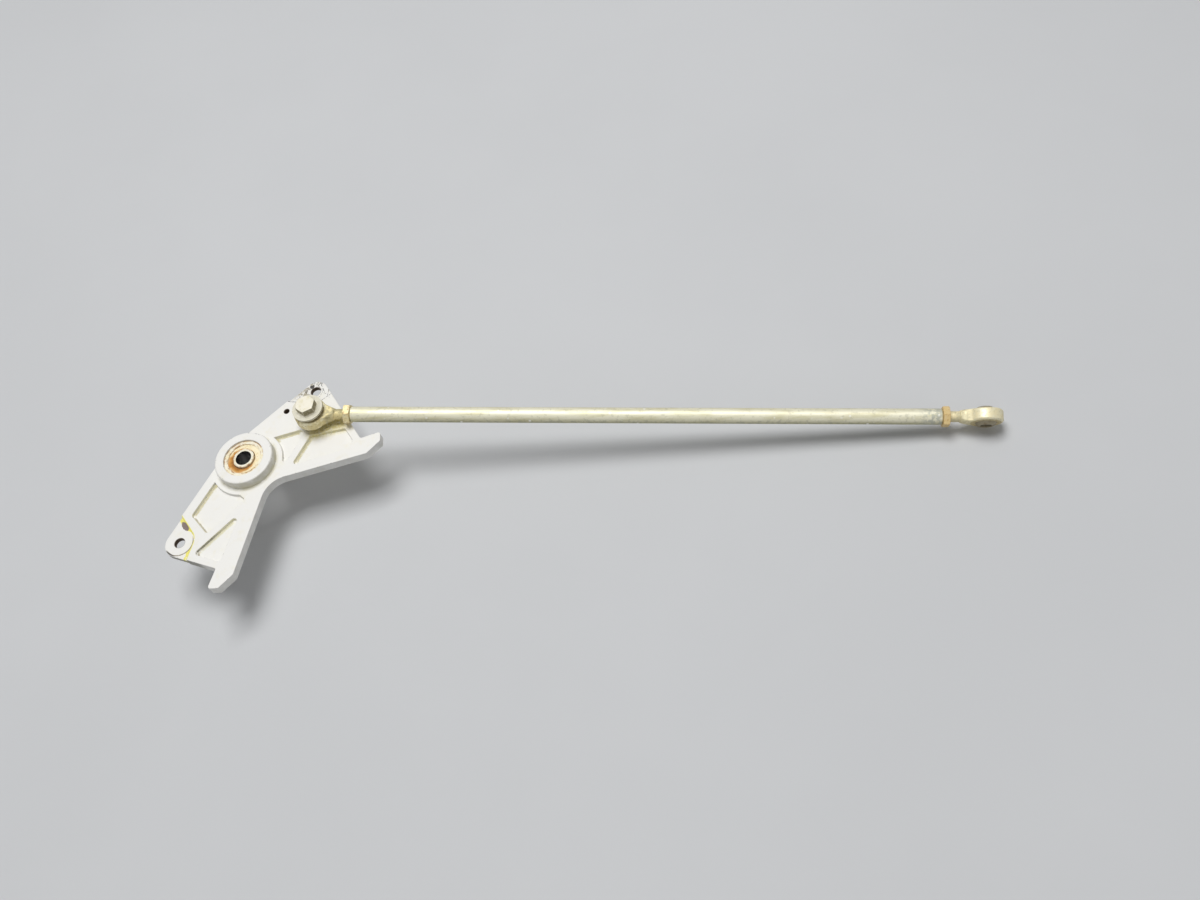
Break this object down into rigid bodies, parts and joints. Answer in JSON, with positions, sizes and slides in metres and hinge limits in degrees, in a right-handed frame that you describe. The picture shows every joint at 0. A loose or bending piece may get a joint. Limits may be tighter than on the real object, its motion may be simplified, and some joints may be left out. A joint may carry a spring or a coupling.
{
  "type": "bellcrank",
  "caption": "White-painted two-armed aircraft bellcrank with pocketed arms, stop fingers and a shielded ball bearing, with a push rod bolted to one arm through a swivel rod end.",
  "frame": {"origin": "on the pivot axis, at the middle of the crank plate's thickness", "axes": "+Z along the pivot axis, towards the raised hub; +X along the push rod in plan"},
  "size_m": [0.4942, 0.1436, 0.0611],
  "materials": {
    "white_paint": "chipped gloss paint",
    "bearing_steel": "ground",
    "cage_brass": "stamped",
    "rusty_shield": "rust-stained",
    "plated_steel": "dull plated",
    "gold_plating": "gold passivated",
    "rod_end_steel": "grimy plated",
    "race_steel": "dark",
    "plated_tube": "satin plated"
  },
  "bodies": {
    "pivot": {"bearing_inner_ring": "bearing_steel"},
    "crank": {"crank_plate": "white_paint", "bearing_outer_ring": "bearing_steel", "bearing_shield_top": "rusty_shield", "bearing_shield_bottom": "rusty_shield", "rod_bolt": "plated_steel", "cover_washer": "plated_steel", "spacer": "plated_steel", "nut_washer": "plated_steel", "castle_nut": "gold_plating", "cotter_pin": "bearing_steel"},
    "ball_cage": {"bearing_balls": "bearing_steel", "bearing_cage": "cage_brass"},
    "near_swivel": {"near_ball": "bearing_steel"},
    "push_rod": {"near_rod_end": "rod_end_steel", "near_race": "race_steel", "near_jam_nut": "gold_plating", "push_rod_tube": "plated_tube", "far_jam_nut": "gold_plating", "far_rod_end": "rod_end_steel", "far_race": "race_steel"},
    "far_swivel": {"far_ball": "bearing_steel"}
  },
  "joints": [
    {"name": "crank_pivot", "type": "hinge", "parent": "pivot", "child": "crank", "pos_m": [0, 0, 0], "axis": [0, 0, 1], "continuous": true},
    {"name": "cage_roll", "type": "hinge", "parent": "pivot", "child": "ball_cage", "pos_m": [0, 0, 0], "axis": [0, 0, 1], "continuous": true},
    {"name": "rod_swing", "type": "hinge", "parent": "crank", "child": "near_swivel", "pos_m": [0.03948, 0.02816, 0.01128], "axis": [0, 0, 1], "range_deg": [-4.5, 120]},
    {"name": "rod_tilt", "type": "hinge", "parent": "near_swivel", "child": "push_rod", "pos_m": [0.03948, 0.02816, 0.01128], "axis": [0, -1, 0], "range_deg": [0, 15.5]},
    {"name": "far_turn", "type": "hinge", "parent": "push_rod", "child": "far_swivel", "pos_m": [0.44262, 0.02816, -0.02754], "axis": [0.0312, 0.9455, 0.3241], "continuous": true}
  ],
  "couplings": [
    {"joint": "cage_roll", "follows": "crank_pivot", "ratio": 0.64083}
  ]
}
